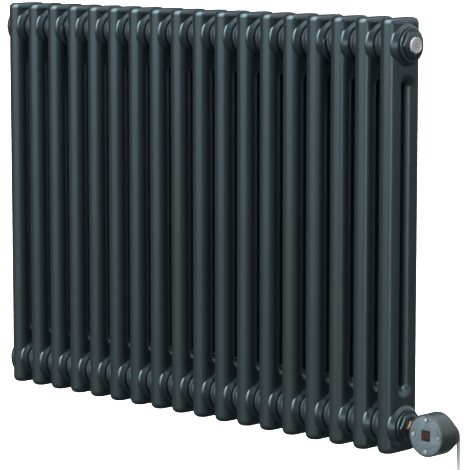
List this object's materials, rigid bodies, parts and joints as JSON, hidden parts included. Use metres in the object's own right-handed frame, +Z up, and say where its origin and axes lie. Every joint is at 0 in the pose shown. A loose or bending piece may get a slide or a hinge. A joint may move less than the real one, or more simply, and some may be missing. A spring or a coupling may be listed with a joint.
{
  "type": "electric column radiator",
  "caption": "Wall-hung steel column radiator with rounded tubular sections, a round air vent and a thermostatic heating-element controller with display, push buttons and mains lead.",
  "frame": {"origin": "middle of the bracket fixing holes, on the wall plane", "axes": "+X along the row towards the controller, +Y into the wall, -Y into the room, +Z up"},
  "size_m": [0.8944, 0.1, 0.832],
  "materials": {
    "anthracite_paint": "satin",
    "zinc_steel": "zinc plated",
    "black_rubber": "matt",
    "chrome": "polished",
    "brass": "machined",
    "element_steel": "bright",
    "dark_plastic": "fine satin",
    "grey_fascia": "satin",
    "dark_window": "gloss",
    "button_plastic": "satin",
    "green_board": "solder mask",
    "black_plastic": "matt",
    "relay_blue": "gloss",
    "white_cable": "smooth sheath",
    "white_plug": "moulded",
    "nickel_pins": "nickel plated",
    "bracket_paint": "satin",
    "grey_liner": "matt"
  },
  "bodies": {
    "radiator": {"section_01": "anthracite_paint", "section_02": "anthracite_paint", "section_03": "anthracite_paint", "section_04": "anthracite_paint", "section_05": "anthracite_paint", "section_06": "anthracite_paint", "section_07": "anthracite_paint", "section_08": "anthracite_paint", "section_09": "anthracite_paint", "section_10": "anthracite_paint", "section_11": "anthracite_paint", "section_12": "anthracite_paint", "section_13": "anthracite_paint", "section_14": "anthracite_paint", "section_15": "anthracite_paint", "section_16": "anthracite_paint", "section_17": "anthracite_paint", "section_18": "anthracite_paint", "lower_nipples": "zinc_steel", "upper_nipples": "zinc_steel", "lower_joint_gaskets": "black_rubber", "upper_joint_gaskets": "black_rubber", "lower_bush": "anthracite_paint", "upper_bush": "anthracite_paint", "bush_gaskets": "black_rubber", "lower_blanking_plug": "anthracite_paint", "upper_blanking_plug": "anthracite_paint", "blanking_plug_gaskets": "black_rubber", "vent_body": "chrome", "vent_seal": "black_rubber", "heating_rod": "element_steel", "element_head": "brass", "element_seal": "black_rubber", "controller_housing": "dark_plastic", "stem_seal": "black_rubber", "fascia": "grey_fascia", "display_window": "dark_window", "circuit_board": "green_board", "display_module": "black_plastic", "tact_switches": "black_plastic", "power_relay": "relay_blue", "power_cable": "white_cable", "cable_boot": "white_cable", "cable_hank": "white_cable", "cable_tie": "black_plastic", "cable_tail": "white_cable", "plug_body": "white_plug", "plug_pins": "nickel_pins", "upper_bracket_left": "bracket_paint", "upper_bracket_right": "bracket_paint", "lower_bracket_left": "bracket_paint", "lower_bracket_right": "bracket_paint", "upper_liners": "grey_liner", "lower_liners": "grey_liner"},
    "up_button": {"button_up": "button_plastic"},
    "mode_button": {"button_mode": "button_plastic"},
    "down_button": {"button_down": "button_plastic"},
    "power_button": {"button_power": "button_plastic"},
    "bleed_screw": {"vent_spindle": "brass"}
  },
  "joints": [
    {"name": "up_press", "type": "slide", "parent": "radiator", "child": "up_button", "axis": [0, 1, 0], "range_m": [0, 0.0008], "stiffness_N_per_m": 1500},
    {"name": "mode_press", "type": "slide", "parent": "radiator", "child": "mode_button", "axis": [0, 1, 0], "range_m": [0, 0.0008], "stiffness_N_per_m": 1500},
    {"name": "down_press", "type": "slide", "parent": "radiator", "child": "down_button", "axis": [0, 1, 0], "range_m": [0, 0.0008], "stiffness_N_per_m": 1500},
    {"name": "power_press", "type": "slide", "parent": "radiator", "child": "power_button", "axis": [0, 1, 0], "range_m": [0, 0.0008], "stiffness_N_per_m": 1500},
    {"name": "bleed_screw_turn", "type": "hinge", "parent": "radiator", "child": "bleed_screw", "pos_m": [0.4105, -0.0675, 0.263], "axis": [1, 0, 0], "range_deg": [0, 270]}
  ]
}
